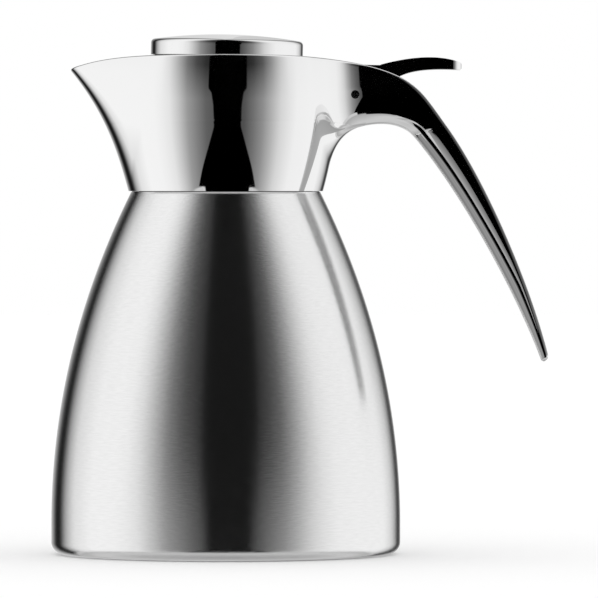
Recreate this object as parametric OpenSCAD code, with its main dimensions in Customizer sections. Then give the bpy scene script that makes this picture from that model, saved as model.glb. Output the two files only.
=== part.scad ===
// Thermal carafe with a hinged flip lid, in millimetres.
// The origin is on the body's axis at table height; the spout points to -X and the handle to +X.

/* [Body] */
// Diameter of the steel body at its widest
body_d = 139.6; // [134:0.2:146]
// Height of the seam between body and collar
seam_h = 145; // [140:0.5:152]
// Diameter of the body at the seam
seam_d = 75.6; // [75:0.2:78]
// Height at which the side starts to lean inwards
side_start_h = 12; // [10:0.5:16]
// How far the upright start of the side curve reaches upwards
side_low_pull = 36.8; // [30:0.2:44]
// How far the upper end of the side curve reaches outwards
side_top_pull_out = 25.2; // [22:0.2:28]
// How far the upper end of the side curve reaches downwards
side_top_pull_down = 50.5; // [44:0.5:56]
// Radius of the rounded bottom edge
bottom_edge_r = 4.8; // [4:0.1:6]
// Thickness of the steel walls
steel_t = 0.8; // [0.6:0.1:1]
// Width of the evacuated space between the two steel walls
vacuum_gap = 7; // [6:0.5:8]
// Step inwards from the seam to the steel neck inside the collar
neck_step = 3.3; // [2.9:0.1:3.8]
// Height of the neck above the seam
neck_h = 7.6; // [7:0.1:9]
// Width of the steel rim round the flask's mouth
mouth_rim_w = 3.7; // [3:0.1:4.2]

/* [Base] */
// Height of the steel edge above the table
base_lift = 0.3; // [0.2:0.1:0.6]
// Width of the steel edge turned in under the body
base_lip_w = 2; // [1.4:0.1:2.6]
// Thickness of the base cover
base_cover_t = 1.6; // [1.2:0.1:2.2]
// Distance of the foot ring's middle from the turned-in steel edge
foot_inset = 6; // [4.5:0.5:12]
// Width of the rubber foot ring
foot_w = 5; // [4:0.5:7]
// Height of the rubber foot ring
foot_h = 2.2; // [1.8:0.1:2.6]
// Diameter of the dimple in the middle of the vacuum base
dimple_d = 34; // [28:1:44]
// Depth of the dimple in the vacuum base
dimple_depth = 2.4; // [1.5:0.1:3]
// Diameter of the getter pellet
getter_d = 9; // [6:0.5:12]
// Thickness of the getter pellet
getter_t = 2; // [1.5:0.1:2.6]

/* [Collar] */
// Height of the rim's crown above the seam
rim_crown_h = 54.3; // [52:0.1:56]
// Gap between the body's shoulder and the collar
collar_gap = 0.3; // [0.2:0.1:0.6]
// How far the collar stands out beyond the body at the seam
collar_step = 1; // [0.6:0.1:2]
// Outward slope of the collar's side at the seam
collar_flare = 0.285; // [0.25:0.005:0.3]
// Height over which that slope dies away
collar_flare_h = 40; // [34:1:46]
// Thickness of the collar's wall
collar_t = 2; // [1.6:0.1:2.4]
// How far the spout stands out beyond the collar's round at its tip
spout_reach = 18; // [14:0.1:20]
// Nose radius of the spout's tip in plan
spout_tip_r = 14; // [12:0.5:18]
// How much lower the rim is at the spout's tip than at its crown
rim_drop_spout = 5.5; // [4:0.1:7]
// Rounding of the outer edge of rim and handle
rim_edge_r = 0.8; // [0.5:0.1:1]

/* [Handle] */
// Thickness of the ears and of the handle's root, across
handle_root_w = 24; // [23:0.5:27]
// Width of the handle at the end of the lever's channel
handle_mid_w = 20; // [18.6:0.1:23]
// Width of the handle just before its tip
handle_tip_w = 14; // [11:0.5:16]
// How far behind the collar's round the handle joins the ears
ear_reach = 11.5; // [10.5:0.1:13.5]
// How much lower the handle's back is at that joint than the rim's crown
back_drop = 3.8; // [3:0.1:4.5]
// Height of the arch under the handle above the seam
arch_h = 26.9; // [25:0.1:29]
// Distance of the arch's highest point behind that joint
arch_out = 5.7; // [5:0.1:8]
// Horizontal reach of the arch from its highest point towards the collar
arch_reach = 18.4; // [17:0.1:20]
// Drop of the arch on the collar's side
arch_fall = 1.8; // [1:0.1:3]
// Size of the smooth blend between collar and ears
ear_blend = 15; // [12:0.5:15.5]
// Rounding of the handle's lower edges at its root
handle_low_r = 4.6; // [3.5:0.1:5.5]
// Depth of the facet along each cheek of the grip, for each millimetre of its width
facet_slope = 0.37; // [0.1:0.01:0.5]
// Distance of the knee in the handle's back behind the joint
back_knee_out = 32.4; // [30:0.2:35]
// Height of that knee above the seam
back_knee_h = 26; // [24:0.2:28]
// Distance of the knee in the handle's underside behind the joint
belly_knee_out = 19.4; // [18:0.2:21]
// Height of that knee above the seam
belly_knee_h = 21.9; // [20:0.1:23]
// Distance of the handle's tip behind the joint
handle_out = 71.4; // [66:0.2:75]
// How far the handle's tip hangs below the seam
handle_fall = 65.7; // [59:0.1:71]
// Thickness of the handle at its tip
handle_tip_t = 3.4; // [3:0.1:5]

/* [Lever] */
// Width of the lever and of its arm
lever_w = 12; // [10:0.5:13]
// Side clearance of the lever in its channel
lever_side_gap = 0.5; // [0.3:0.05:0.7]
// Angle through which the lid opens, in degrees
lid_open = 38; // [30:1:40]
// Distance of the lever's tip behind the hinge pin
lever_reach = 42; // [39:0.1:43.5]
// Height of the lever's crown above the hinge pin
lever_crown_h = 15.3; // [14:0.1:17]
// Thickness of the lever
lever_t = 5.2; // [4.6:0.1:5.6]
// Rounding of the lever's free end in plan
lever_end_r = 4; // [1:0.5:4.5]
// Distance of the hinge pin in front of the handle's joint
pin_in = 4.3; // [3.5:0.1:5]
// How far the hinge pin lies below the rim's crown
pin_drop = 15.5; // [14.5:0.1:16.5]
// Diameter of the hinge pin
pin_d = 3.3; // [2.8:0.1:3.6]
// Depth to which the pin's ends are sunk in the ears
pin_sink = 0.8; // [0.4:0.1:1.5]
// Radial clearance of the pin
pin_clearance = 0.05; // [0.03:0.01:0.08]
// Outer diameter of the hinge bushes
bush_d = 5.4; // [5:0.1:5.8]
// Outer diameter of the lever's hub
hub_d = 9.2; // [8.6:0.1:9.6]
// Room between the hub and the channel's floor
hub_gap = 0.7; // [0.4:0.1:1]

/* [Lid] */
// Diameter of the lid cap
cap_d = 60.8; // [58:0.2:62]
// Height of the cap's skirt
cap_h = 6.4; // [5.6:0.1:7]
// Height of the cap's dome above its edge
cap_crown = 2.2; // [1.4:0.1:3]
// Rounding of the cap's edge
cap_edge_r = 1.6; // [1:0.1:2]
// Lean of the cap towards the handle, in degrees
cap_lean = 1.2; // [0:0.1:1.6]
// Wall thickness of the cap
cap_t = 0.8; // [0.6:0.1:1]
// Depth of the insert's deck below the rim's crown
deck_depth = 5.1; // [4.8:0.1:6]
// Thickness of moulded walls
wall_t = 2; // [1.6:0.1:2.2]
// Diameter of the throat
throat_d = 41; // [38:0.5:43]
// Diameter of the stopper seat at the deck
seat_d = 58; // [56:0.5:59]
// Height of the conical stopper seat
seat_h = 14.2; // [13:0.1:15]
// Gap between the stopper and its seat
stopper_gap = 0.9; // [0.7:0.1:1.1]
// Gap between the seal and the seat
seal_gap = 0.3; // [0.2:0.05:0.4]
// Height of the seal ring
seal_h = 3.4; // [2.5:0.1:4]
// Depth of the seal's groove in the stopper
seal_depth = 0.8; // [0.5:0.1:1]
// Length of the stopper below its cone
stopper_tail = 6; // [4:0.5:7]
// Thickness of the arm's plate under the lid
arm_t = 2.8; // [2.2:0.1:3]
// Diameter of the lid screws
screw_d = 2.6; // [2:0.1:3]
// Distance between the two lid screws
screw_pitch = 24; // [20:1:28]
// Distance of the middle between the lid screws from the axis
screw_x = 6; // [4:0.5:8]
// Width of the pouring channel
channel_w = 20; // [14:0.5:22]
// Rise of the pouring channel towards the spout, as a slope
channel_rise = 0.17; // [0.12:0.01:0.2]

/* [Hidden] */

// Gap between pieces that touch without being fixed
fit = 0.3;
// Gap between pieces that are glued, welded or pressed together
joined = 0.05;
// Facets of the revolved pieces
$fn = 96;

body_r = body_d / 2;
seam_r = seam_d / 2;
neck_r = seam_r - neck_step;
mouth_r = neck_r - mouth_rim_w;
neck_top = seam_h + neck_h;
collar_r = seam_r + collar_step;
handle_joint_x = collar_r + collar_flare * collar_flare_h / 2 + ear_reach;
rim_z = seam_h + rim_crown_h;
back_z = rim_z - back_drop;
pin_x = handle_joint_x - pin_in;
pin_z = rim_z - pin_drop;
pin = [pin_x, pin_z];

function bezier(p, t) =
    pow(1 - t, 3) * p[0] + 3 * pow(1 - t, 2) * t * p[1] + 3 * (1 - t) * t * t * p[2] + pow(t, 3) * p[3];
function curve(p, n) = [for (i = [0 : n]) bezier(p, i / n)];
// A curve between two ends, each with the way and the length by which it is pulled
function pulled(start, start_pull, end_pull, end, n) =
    curve([start, start + start_pull, end + end_pull, end], n);
function turned(p, c, a) =
    [c.x + (p.x - c.x) * cos(a) + (p.y - c.y) * sin(a), c.y - (p.x - c.x) * sin(a) + (p.y - c.y) * cos(a)];
function arc(c, r, from, to, n) =
    [for (i = [0 : n]) let (a = from + (to - from) * i / n) [c.x + r * cos(a), c.y + r * sin(a)]];
function reversed(v) = [for (i = [len(v) - 1 : -1 : 0]) v[i]];

// A profile in the XZ plane, extruded across the middle plane
module across(points, w) {
    rotate([90, 0, 0]) translate([0, 0, -w / 2]) linear_extrude(w) polygon(points);
}

// Body: two steel walls with a vacuum between them
side_curve = curve([[body_r, side_start_h],
                    [body_r, side_start_h + side_low_pull],
                    [seam_r + side_top_pull_out, seam_h - side_top_pull_down],
                    [seam_r, seam_h]], 24);
edge_centre = [body_r - bottom_edge_r, base_lift + bottom_edge_r];
lip_r = edge_centre.x - base_lip_w;
shell_floor_z = base_lift + steel_t;

module outer_shell() {
    side_inside = [for (i = [0 : len(side_curve) - 2]) side_curve[i] - [steel_t, 0]];
    color([0.72, 0.73, 0.74]) rotate_extrude() polygon(concat(
        [[lip_r, base_lift]],
        arc(edge_centre, bottom_edge_r, -90, 0, 8),
        side_curve,
        [[neck_r, seam_h], [neck_r, neck_top], [neck_r - steel_t, neck_top],
         [neck_r - steel_t, seam_h - steel_t], [seam_r - steel_t, seam_h - steel_t]],
        reversed(side_inside),
        arc(edge_centre, bottom_edge_r - steel_t, 0, -90, 8),
        [[lip_r, shell_floor_z]]));
}

base_skirt_h = 4.3;
vacuum_base_z = shell_floor_z + base_skirt_h;
vacuum_base_r = edge_centre.x - steel_t - fit;

module vacuum_base() {
    dimple_r = dimple_d / 2;
    flat_r = dimple_r - dimple_depth;
    dimple_z = vacuum_base_z + dimple_depth;
    color([0.6, 0.61, 0.62]) rotate_extrude() polygon([
        [0, dimple_z - steel_t], [flat_r, dimple_z - steel_t],
        [dimple_r, vacuum_base_z - steel_t], [vacuum_base_r - steel_t, vacuum_base_z - steel_t],
        [vacuum_base_r - steel_t, shell_floor_z], [vacuum_base_r, shell_floor_z],
        [vacuum_base_r, vacuum_base_z], [dimple_r, vacuum_base_z], [flat_r, dimple_z], [0, dimple_z]]);
}

module getter() {
    color([0.35, 0.35, 0.36]) translate([0, 0, vacuum_base_z + dimple_depth])
        cylinder(h = getter_t, d = getter_d);
}

flask_floor_z = vacuum_base_z + vacuum_gap;
flask_edge_r = 8;

module inner_vessel() {
    inset = steel_t + vacuum_gap;
    flask_r = body_r - inset;
    edge = [flask_r - flask_edge_r, flask_floor_z + flask_edge_r];
    outside = [for (p = side_curve) if (p.y > edge.y && p.y < seam_h)
        [max(p.x - inset, mouth_r + steel_t), p.y]];
    inside = [for (p = outside) p - [steel_t, 0]];
    color([0.68, 0.69, 0.7]) rotate_extrude() polygon(concat(
        [[0, flask_floor_z]],
        arc(edge, flask_edge_r, -90, 0, 8),
        outside,
        [[mouth_r + steel_t, neck_top - steel_t], [neck_r - steel_t - joined, neck_top - steel_t],
         [neck_r - steel_t - joined, neck_top], [mouth_r, neck_top]],
        reversed(inside),
        arc(edge, flask_edge_r - steel_t, 0, -90, 8),
        [[0, flask_floor_z + steel_t]]));
}

foot_r = lip_r - foot_inset;
cover_recess = 0.5;
foot_bed_t = 1;

module base_cover() {
    cover_z = base_lift + cover_recess;
    bed_z = foot_h + foot_bed_t;
    bed_w = foot_w / 2 + joined;
    bed_rib = 1.5;
    color([0.08, 0.08, 0.085]) rotate_extrude() polygon([
        [0, cover_z], [foot_r - bed_w, cover_z], [foot_r - bed_w, foot_h], [foot_r + bed_w, foot_h],
        [foot_r + bed_w, cover_z], [lip_r - fit, cover_z], [lip_r - fit, cover_z + base_cover_t],
        [foot_r + bed_w + bed_rib, cover_z + base_cover_t], [foot_r + bed_w + bed_rib, bed_z],
        [foot_r - bed_w - bed_rib, bed_z], [foot_r - bed_w - bed_rib, cover_z + base_cover_t],
        [0, cover_z + base_cover_t]]);
}

module foot_ring() {
    round_r = 0.6;
    color([0.05, 0.05, 0.05]) rotate_extrude() polygon(concat(
        arc([foot_r - foot_w / 2 + round_r, round_r], round_r, 180, 270, 4),
        arc([foot_r + foot_w / 2 - round_r, round_r], round_r, 270, 360, 4),
        [[foot_r + foot_w / 2, foot_h], [foot_r - foot_w / 2, foot_h]]));
}

// Pouring collar: a round that grows a spout in front and two ears at its back.
// Each height is a plan outline, found along rays from the axis.
collar_z = seam_h + collar_gap;
spout_tip_h = rim_crown_h - rim_drop_spout;
spout_tip_x = collar_round(spout_tip_h) + spout_reach;
ear_r = handle_root_w / 2;
arch_x = handle_joint_x + arch_out;

// Radius of the collar's round at a height above the seam, which is widest at collar_flare_h
function collar_round(h) = collar_r + collar_flare * (h - h * h / (2 * collar_flare_h));
// The spout grows with the height: its reach, and the radius of its nose in plan
spout_swing = 2.4;
nose_swing = 1.4;
function spout_out(h) = spout_reach * pow(h / spout_tip_h, spout_swing);
function nose_r(h) = collar_round(h) - (collar_round(h) - spout_tip_r) * pow(h / spout_tip_h, nose_swing);
// Height of the rim above the seam, which falls to the spout and to the handle
rim_front_swing = 4.3;
rim_back_swing = 3.3;
function rim_h(x) =
    rim_crown_h - (x < 0 ? rim_drop_spout * pow(-x / spout_tip_x, rim_front_swing)
                         : back_drop * pow(x / handle_joint_x, rim_back_swing));
// Distance in plan from the round and its spout, which together are a drop shape
function drop_gap(x, y, h) =
    let (round_r = collar_round(h),
         tip_r = nose_r(h),
         tip_x = max(round_r + spout_out(h) - tip_r, 0.001),
         lean = (round_r - tip_r) / tip_x,
         along = sqrt(1 - lean * lean),
         k = -along * x - lean * abs(y))
    k < 0 ? norm([x, y]) - round_r
    : k > along * tip_x ? norm([x + tip_x, y]) - tip_r
    : along * abs(y) - lean * x - round_r;
// Height above the seam of the arch's edge under the ears
function arch_edge_h(x) = arch_h - arch_fall * pow(max(arch_x - x, 0) / arch_reach, 2);
// Distance from the bar that the ears are cut from, which starts inside the round
function ear_gap(x, y, h) =
    let (side = abs(y) - ear_r + handle_low_r, low = arch_edge_h(x) + handle_low_r - h)
    max(norm([max(side, 0), max(low, 0)]) + min(max(side, low), 0) - handle_low_r, collar_r / 2 - x);
function blended(a, b) =
    let (k = max(ear_blend - abs(a - b), 0) / ear_blend) min(a, b) - k * k * ear_blend / 4;
function collar_gap_at(x, y, h, inset, ears) =
    ears ? max(blended(drop_gap(x, y, h), ear_gap(x, y, h)) + inset, x - handle_joint_x)
    : drop_gap(x, y, h) + inset;
// Distance of the collar's surface from the axis at angle a, by halving an interval that holds it
ray_near = 10;
ray_far = 90;
halvings = 20;
function collar_ray(a, h, inset, ears, near = ray_near, far = ray_far, steps = halvings) =
    let (middle = (near + far) / 2)
    steps == 0 ? middle
    : collar_gap_at(middle * cos(a), middle * sin(a), h, inset, ears) < 0
        ? collar_ray(a, h, inset, ears, middle, far, steps - 1)
        : collar_ray(a, h, inset, ears, near, middle, steps - 1);

// Half width of the joint face of the ears at a height above the seam
function joint_half_w(h) =
    let (up = min(max(h - arch_edge_h(handle_joint_x), 0), handle_low_r))
    ear_r - handle_low_r + sqrt(pow(handle_low_r, 2) - pow(handle_low_r - up, 2));
// Angles of the columns: a few across the joint face, the others closest together at the ears and the spout
joint_columns = 6;
side_columns = 58;
column_crowding = 0.04;
function column_angle(i, half_w) =
    let (corner = atan(half_w / handle_joint_x), s = (i - joint_columns) / side_columns)
    i <= joint_columns ? corner * (2 * i / joint_columns - 1)
    : corner + (360 - 2 * corner) * (s - column_crowding * sin(720 * s));
columns = joint_columns + side_columns;

joint_h = arch_edge_h(handle_joint_x);
joint_top_h = rim_crown_h - back_drop;
outside_heights = concat(
    [for (i = [0 : 6]) collar_gap + (joint_h - collar_gap) * i / 7],
    [for (a = [0, 35, 60, 90]) joint_h + handle_low_r * (1 - cos(a))],
    [for (i = [1 : 4]) joint_h + handle_low_r + (joint_top_h - joint_h - handle_low_r - rim_edge_r) * i / 4]);
inside_heights = [for (i = [0 : 9]) collar_gap + (joint_top_h - collar_gap) * i / 9];

// Height of the rim above the seam over the collar's outline at angle a
function rim_h_at(a, inset, ears) = rim_h(collar_ray(a, spout_tip_h, inset, ears) * cos(a));

// One level of the surface: its height is a share of the way up to the rim
function collar_level(level_h, inset, drop, ears) =
    let (share = (level_h - collar_gap) / (joint_top_h - collar_gap))
    [for (i = [0 : columns - 1])
        let (half_w = joint_half_w(level_h) - (ears ? inset : 0),
             a = column_angle(i, half_w),
             top = rim_h_at(a, inset, ears),
             h = collar_gap + (top - collar_gap) * share - drop,
             r = collar_ray(a, h, inset, ears))
        [r * cos(a), r * sin(a), seam_h + h]];

// Faces between stacked rings of points that each have n points
function band_faces(rings, n) =
    [for (j = [0 : rings - 2], i = [0 : n - 1], half = [0, 1])
        let (a = j * n + i, b = j * n + (i + 1) % n)
        half == 0 ? [a, a + n, b + n] : [a, b + n, b]];

module collar_blank() {
    edge_cut = 1 - sqrt(0.5);
    rings = concat(
        [for (h = outside_heights) collar_level(h, 0, 0, true)],
        [collar_level(joint_top_h, edge_cut * rim_edge_r, edge_cut * rim_edge_r, true),
         collar_level(joint_top_h, rim_edge_r, 0, true)],
        [for (h = reversed(inside_heights)) collar_level(h, collar_t, 0, false)]);
    points = [for (ring = rings) each ring];
    last = (len(rings) - 1) * columns;
    closing = [for (i = [0 : columns - 1], half = [0, 1])
        let (j = (i + 1) % columns)
        half == 0 ? [last + i, i, j] : [last + i, j, last + j]];
    polyhedron(points, concat(band_faces(len(rings), columns), closing));
}

// Lever: its outline in the XZ plane, at rest with the lid shut
cap_r = cap_d / 2;
cap_x = 0.5;
arm_drop = 1.3;
arm_top = rim_z - arm_drop;
arm_bottom = arm_top - arm_t;
plate_margin = 6;
plate_end_x = screw_x - screw_pitch / 2 - plate_margin;
lever_crown_z = pin_z + lever_crown_h;
lever_neck = [pin_x + 10.5, lever_crown_z - 3.2];
lever_tip = [pin_x + lever_reach, lever_crown_z - 2.4];
lever_tip_t = 3;
lever_nose = 1.1;
nose_round = 0.3 * lever_tip_t;
lever_top = pulled(lever_neck, [9.8, 3], [-9.4, 4], lever_tip, 10);
lever_root = [pin_x + 17.6, lever_neck.y + 3.4 - 1.6 * lever_t];
lever_under = pulled(lever_root, [5.7, 0.6 * lever_t - 0.1], [-9.8, 0.5], lever_tip - [0, lever_tip_t], 10);
arm_rise_x = cap_x + cap_r + fit;
arm_over = pulled([arm_rise_x, arm_top], [13, 0], [-15.5, 0], lever_neck - [0.5, 0.3], 8);
hub_front = pin + [-2.5, 0.4 * hub_d];
hub_side = pin + hub_d * [0.45, 0.22];
arm_under = pulled([pin_x - 13.7, arm_bottom], [6.5, 0], [-3.7, 5], hub_front, 8);

// Room for the lever: over the collar's wall, round the hub and under the lever when it is pressed down
lever_rest_gap = [0.5, hub_gap];
channel_tip_gap = 1;
channel_tip_angle = 2.5;

module lever_channel() {
    room = hub_d / 2 + hub_gap;
    over_wall = [for (p = arm_under) let (q = p - lever_rest_gap) if (norm(q - pin) > room) q];
    pressed = [for (p = lever_under) turned(p, pin, lid_open) - lever_rest_gap];
    tip_reach = norm(lever_tip - pin) + channel_tip_gap;
    tip_angle = atan((lever_tip.y - pin_z) / lever_reach) - lid_open - channel_tip_angle;
    end = pin + tip_reach * [cos(tip_angle), sin(tip_angle)];
    above = rim_z + body_r;
    across(concat(
        [[plate_end_x, above], [plate_end_x, arm_bottom - hub_gap]],
        over_wall,
        arc(pin, room, 150, 270, 6),
        pressed,
        [end, [end.x, above]]), lever_w + 2 * lever_side_gap);
}

module pin_bore(d) {
    translate([pin_x, 0, pin_z]) rotate([90, 0, 0]) cylinder(h = 3 * handle_root_w, d = d, center = true);
}

module spout_collar() {
    color([0.82, 0.83, 0.84]) difference() {
        collar_blank();
        lever_channel();
        pin_bore(pin_d + 2 * pin_clearance);
    }
}

// Handle: sections between the line of its back and the line of its underside, each with a knee
knee_station = 10;
tip_stations = 14;
back_knee = [handle_joint_x + back_knee_out, seam_h + back_knee_h];
belly_knee = [handle_joint_x + belly_knee_out, seam_h + belly_knee_h];
back_end = [handle_joint_x + handle_out + 1.3, seam_h - handle_fall + 1];
belly_end = back_end - handle_tip_t * [0.8, 0.6];
back_line = concat(
    pulled([handle_joint_x, back_z], [19.8, -4.6], [-9.6, 13.3], back_knee, knee_station),
    after_start(pulled(back_knee, [16.2, -22.5], [-6.4, 25.8], back_end, tip_stations)));
belly_line = concat(
    pulled([handle_joint_x, seam_h + joint_h], [7.2, 1.4], [-4.6, 5.5], belly_knee, knee_station),
    after_start(pulled(belly_knee, [18.2, -21.6], [-10.4, 27.6], belly_end, tip_stations)));
handle_stations = len(back_line);

function after_start(v) = [for (i = [1 : len(v) - 1]) v[i]];
function handle_half_w(i) =
    i <= knee_station
        ? ear_r + (handle_mid_w / 2 - ear_r) * i / knee_station
        : (handle_mid_w + (handle_tip_w - handle_mid_w) * (i - knee_station) / tip_stations) / 2;

// A section with wide rounds below and narrow ones above, shrunk by a margin. Behind the knee each cheek ends
// in a facet that leans in towards the lower round.
round_growth = 0.08;
low_round_share = 0.52;
top_round_share = 0.3;
facet_share = 0.63;
function handle_section(i, margin = 0) =
    let (back = back_line[i],
         belly = belly_line[i],
         up = (back - belly) / norm(back - belly),
         half_w = handle_half_w(i) - margin,
         thick = norm(back - belly) - 2 * margin,
         low_r = min(handle_low_r + round_growth * min(i, knee_station), low_round_share * thick),
         top_r = min(rim_edge_r, top_round_share * thick),
         facet_w = facet_share * (thick - low_r - top_r),
         facet_in = i > knee_station ? facet_slope * facet_w : 0,
         right = concat(
             arc([half_w - facet_in - low_r, margin + low_r], low_r, -90, 0, 4),
             [[half_w, margin + low_r + facet_w]],
             arc([half_w - top_r, margin + thick - top_r], top_r, 0, 90, 2)),
         left = [for (p = reversed(right)) [-p.x, p.y]])
    [for (p = concat(right, left)) [belly.x + up.x * p.y, p.x, belly.y + up.y * p.y]];

module handle() {
    last = handle_stations - 1;
    ahead = back_line[last] + belly_line[last] - back_line[last - 1] - belly_line[last - 1];
    way = [ahead.x, 0, ahead.y] / norm(ahead);
    tip_r = handle_tip_t / 2;
    rings = concat(
        [for (i = [0 : last]) handle_section(i)],
        [for (a = [30, 60, 90])
            [for (p = handle_section(last, 0.8 * tip_r * (1 - cos(a)))) p + way * tip_r * sin(a)]]);
    n = len(rings[0]);
    points = [for (ring = rings) each ring];
    ends = [[for (i = [n - 1 : -1 : 0]) i],
            [for (i = [0 : n - 1]) (len(rings) - 1) * n + i]];
    color([0.8, 0.81, 0.82]) difference() {
        polyhedron(points, concat(band_faces(len(rings), n), ends));
        lever_channel();
    }
}

module hinge_pin() {
    length = handle_root_w - 2 * pin_sink;
    color([0.5, 0.5, 0.52]) translate([pin_x, length / 2, pin_z]) rotate([90, 0, 0])
        cylinder(h = length, d = pin_d);
}

flange_margin = 0.7;
flange_d = hub_d - 2 * flange_margin;
flange_t = 0.6;
bush_l = 3.4;
screw_places = [for (side = [-1, 1]) screw_x + side * screw_pitch / 2];
through = 1;

module thumb_lever() {
    outline = concat(
        [[plate_end_x, arm_bottom], [plate_end_x, arm_top]],
        arm_over,
        lever_top,
        arc(lever_tip + [lever_nose - nose_round, -lever_tip_t / 2], nose_round, 60, -60, 4),
        reversed(lever_under),
        [hub_side, pin],
        reversed(arm_under));
    color([0.74, 0.75, 0.76]) difference() {
        union() {
            intersection() {
                across(outline, lever_w);
                lever_plan();
            }
            translate([pin_x, lever_w / 2, pin_z]) rotate([90, 0, 0]) cylinder(h = lever_w, d = hub_d);
        }
        pin_bore(bush_d + joined);
        for (side = [-1, 1])
            translate([pin_x, side * (lever_w / 2 + through - flange_t), pin_z]) rotate([90, 0, 0])
                cylinder(h = 2 * through, d = flange_d + 2 * joined, center = true);
        screw_holes(arm_bottom, arm_t);
    }
}

// The lever seen from above, with its free end rounded
module lever_plan() {
    side = lever_w / 2;
    round_y = side - lever_end_r;
    round_x = lever_tip.x + lever_nose - lever_end_r;
    translate([0, 0, pin_z - hub_d]) linear_extrude(lever_crown_h + 2 * hub_d) polygon(concat(
        [[plate_end_x - through, -side - through], [round_x, -side - through]],
        arc([round_x, -round_y], lever_end_r, -90, 0, 8),
        arc([round_x, round_y], lever_end_r, 0, 90, 8),
        [[round_x, side + through], [plate_end_x - through, side + through]]));
}

// Holes for the lid screws through a plate
module screw_holes(low_z, thickness) {
    for (x = screw_places)
        translate([x, 0, low_z - through]) cylinder(h = thickness + 2 * through, d = screw_d + 2 * joined);
}

module hinge_bushes() {
    bore_r = pin_d / 2 + pin_clearance;
    sleeve_r = bush_d / 2;
    flange_r = flange_d / 2;
    color([0.9, 0.88, 0.8]) for (side = [-1, 1])
        translate([pin_x, 0, pin_z]) rotate([90 * side, 0, 0]) translate([0, 0, lever_w / 2 - bush_l])
            rotate_extrude() polygon([
                [bore_r, 0], [sleeve_r, 0], [sleeve_r, bush_l - flange_t],
                [flange_r, bush_l - flange_t], [flange_r, bush_l], [bore_r, bush_l]]);
}

// Pouring insert: throat, stopper seat, deck and channel
deck_z = rim_z - deck_depth;
seat_z = deck_z - seat_h;
seat_r = seat_d / 2;
throat_r = throat_d / 2;
gasket_t = 1.6;
funnel_h = 10;

module neck_ring() {
    ring_in = neck_r + joined;
    ring_out = collar_r - collar_t - fit;
    color([0.1, 0.1, 0.1]) translate([0, 0, collar_z]) rotate_extrude()
        polygon([[ring_in, 0], [ring_out, 0],
                 [ring_out, neck_h - collar_gap], [ring_in, neck_h - collar_gap]]);
}

module neck_gasket() {
    gasket_in = mouth_r + fit;
    color([0.75, 0.75, 0.72]) translate([0, 0, neck_top]) rotate_extrude()
        polygon([[gasket_in, 0], [neck_r, 0], [neck_r, gasket_t], [gasket_in, gasket_t]]);
}

// Block that fills the collar with a gap all round, up to a margin below the rim
module collar_filling(floor_h) {
    rim_margin = 1.2;
    levels = 5;
    n = columns;
    inset = collar_t + fit;
    rings = [for (j = [0 : levels]) [for (i = [0 : n - 1])
        let (a = column_angle(i, ear_r),
             top = rim_h_at(a, inset, false) - rim_margin,
             h = floor_h + (top - floor_h) * j / levels,
             r = collar_ray(a, h, inset, false))
        [r * cos(a), r * sin(a), seam_h + h]]];
    centres = [[0, 0, seam_h + floor_h], [0, 0, rim_z]];
    points = concat([for (ring = rings) each ring], centres);
    low = len(points) - 2;
    top_start = levels * n;
    caps = [for (i = [0 : n - 1], end = [0, 1])
        let (j = (i + 1) % n) end == 0 ? [low, i, j] : [low + 1, top_start + j, top_start + i]];
    polyhedron(points, concat(band_faces(levels + 1, n), caps));
}

module pouring_insert() {
    flange_r = neck_r + 1.8;
    tube_out = mouth_r - fit;
    tube_in = tube_out - wall_t;
    tube_l = 6.6;
    flange_z = neck_top + gasket_t;
    throat_z = seat_z - funnel_h;
    bore = [[tube_in, flange_z + wall_t], [throat_r, throat_z], [throat_r, seat_z], [seat_r, deck_z]];
    skin = [for (p = bore) p + [wall_t, 0]];
    channel_start = [-throat_r - 3.5, seat_z + 6.5];
    channel_l = spout_tip_x + 6 + channel_start.x;
    channel_end = channel_start + channel_l * [-1, channel_rise];
    color([0.1, 0.1, 0.105]) difference() {
        union() {
            intersection() {
                collar_filling(channel_start.y - wall_t - seam_h);
                union() {
                    translate([0, 0, deck_z - wall_t]) cylinder(h = wall_t, r = 2 * spout_tip_x);
                    across([channel_start - [0, wall_t], channel_end - [0, wall_t],
                            [channel_end.x, deck_z], [channel_start.x, deck_z]], channel_w + 2 * wall_t);
                }
            }
            rotate_extrude() polygon(concat(
                [[tube_in, neck_top - tube_l], [tube_out, neck_top - tube_l], [tube_out, flange_z],
                 [flange_r, flange_z], [flange_r, flange_z + wall_t]],
                skin,
                reversed(bore)));
        }
        rotate_extrude() polygon([
            [0, throat_z], [throat_r, throat_z], [throat_r, seat_z],
            [seat_r, deck_z], [seat_r, rim_z], [0, rim_z]]);
        across([channel_start, channel_end, [channel_end.x, rim_z + wall_t],
                [0, rim_z + wall_t], [0, channel_start.y]], channel_w);
    }
}

// Lid: cap, carrier and stopper, all clamped to the lever's arm
module leaning() {
    translate([cap_x, 0, rim_z + cap_h / 2]) rotate([0, cap_lean, 0]) translate([0, 0, -cap_h / 2]) children();
}

// Outline of the cap from its apex outwards and down to the skirt, inset by a margin
function cap_outline(margin) =
    let (edge_x = cap_r - cap_edge_r,
         dome_r = (edge_x * edge_x + cap_crown * cap_crown) / (2 * cap_crown),
         dome_a = asin(edge_x / dome_r))
    concat(
        [for (i = [0 : 10]) let (a = dome_a * i / 10)
            [(dome_r - margin) * sin(a), cap_h + cap_crown - dome_r + (dome_r - margin) * cos(a)]],
        arc([edge_x, cap_h - cap_edge_r], cap_edge_r - margin, 90 - dome_a, 0, 6),
        [[cap_r - margin, 0]]);

module lid_cap() {
    color([0.84, 0.85, 0.86]) leaning() rotate_extrude()
        polygon(concat(cap_outline(0), reversed(cap_outline(cap_t))));
}

screw_grip = 4;

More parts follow.
